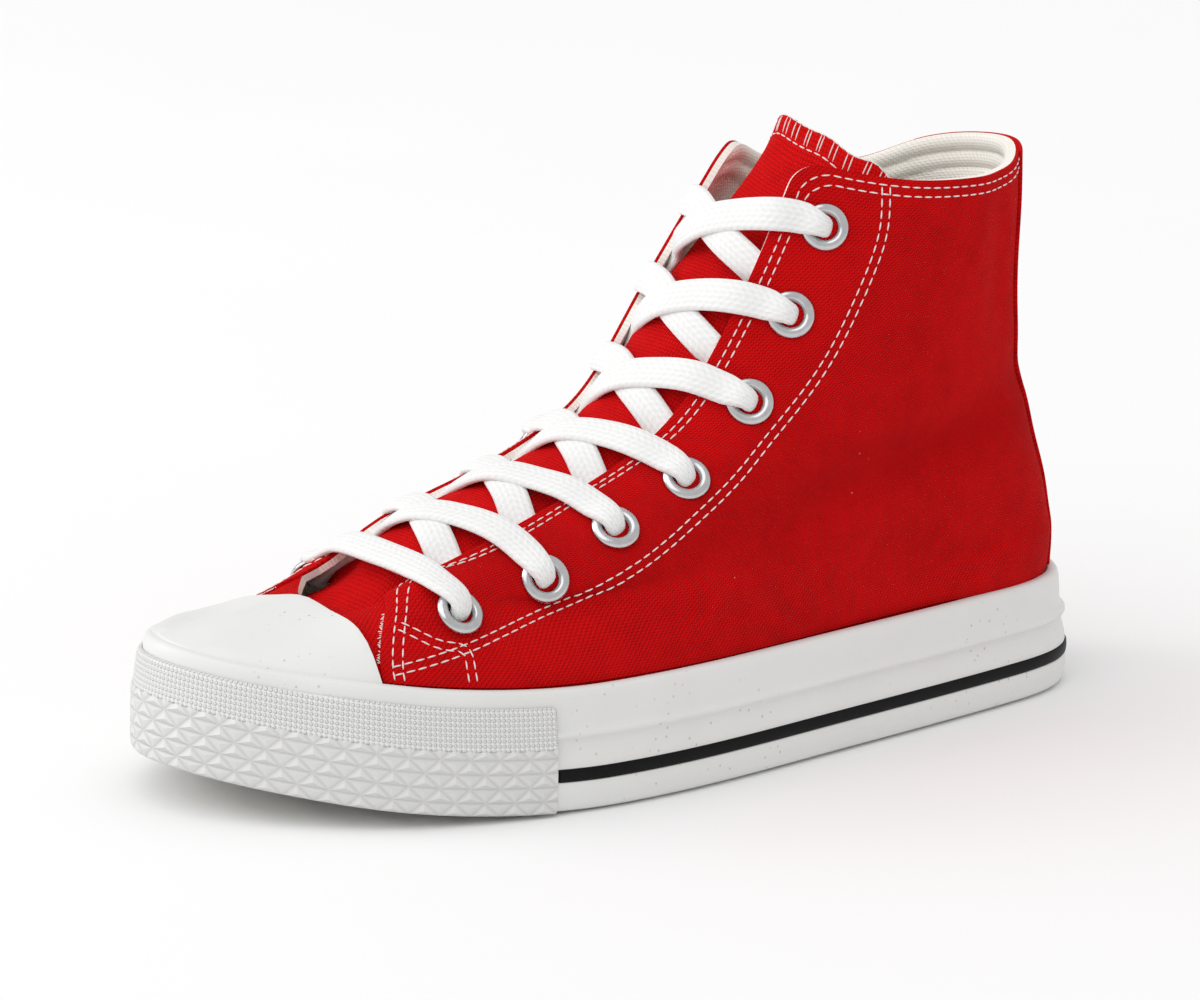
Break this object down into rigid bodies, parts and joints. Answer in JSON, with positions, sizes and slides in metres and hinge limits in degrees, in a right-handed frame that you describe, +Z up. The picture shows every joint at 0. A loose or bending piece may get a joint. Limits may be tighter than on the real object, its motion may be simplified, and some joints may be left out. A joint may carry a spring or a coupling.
{
  "type": "canvas sneaker",
  "caption": "Red canvas high-top sneaker, left shoe, with white rubber toe cap, bumper and side band, black stripe, and flat white laces crossed through metal eyelets.",
  "frame": {"origin": "centre of the footprint's bounding box, on the floor under the sole", "axes": "+Z up, -Y to the toe, +Y to the heel, +X to the lateral (outer) side of the left shoe"},
  "size_m": [0.0992, 0.2523, 0.1423],
  "materials": {
    "canvas": "matt red cotton canvas",
    "tongue_canvas": "matt red cotton canvas, coarser weave",
    "white_rubber": "smooth satin white rubber",
    "black_rubber": "satin black rubber stripe",
    "cream_cloth": "matt cream cloth",
    "white_cotton": "matt braided cotton lace",
    "silver_metal": "polished silver metal"
  },
  "bodies": {
    "root": {"upper": "canvas", "tongue": "tongue_canvas", "insole": "cream_cloth", "outsole": "white_rubber", "side_band": "white_rubber", "toe_bumper": "white_rubber", "toe_cap": "white_rubber", "heel_strip": "canvas", "black_stripe": "black_rubber", "lace_bar": "white_cotton", "lace_crossing_2": "white_cotton", "lace_crossing_3": "white_cotton", "lace_crossing_4": "white_cotton", "lace_crossing_5": "white_cotton", "lace_crossing_6": "white_cotton", "lace_crossing_7": "white_cotton", "eyelet_lateral_1": "silver_metal", "eyelet_lateral_2": "silver_metal", "eyelet_lateral_3": "silver_metal", "eyelet_lateral_4": "silver_metal", "eyelet_lateral_5": "silver_metal", "eyelet_lateral_6": "silver_metal", "eyelet_lateral_7": "silver_metal", "eyelet_medial_1": "silver_metal", "eyelet_medial_2": "silver_metal", "eyelet_medial_3": "silver_metal", "eyelet_medial_4": "silver_metal", "eyelet_medial_5": "silver_metal", "eyelet_medial_6": "silver_metal", "eyelet_medial_7": "silver_metal"}
  },
  "joints": []
}
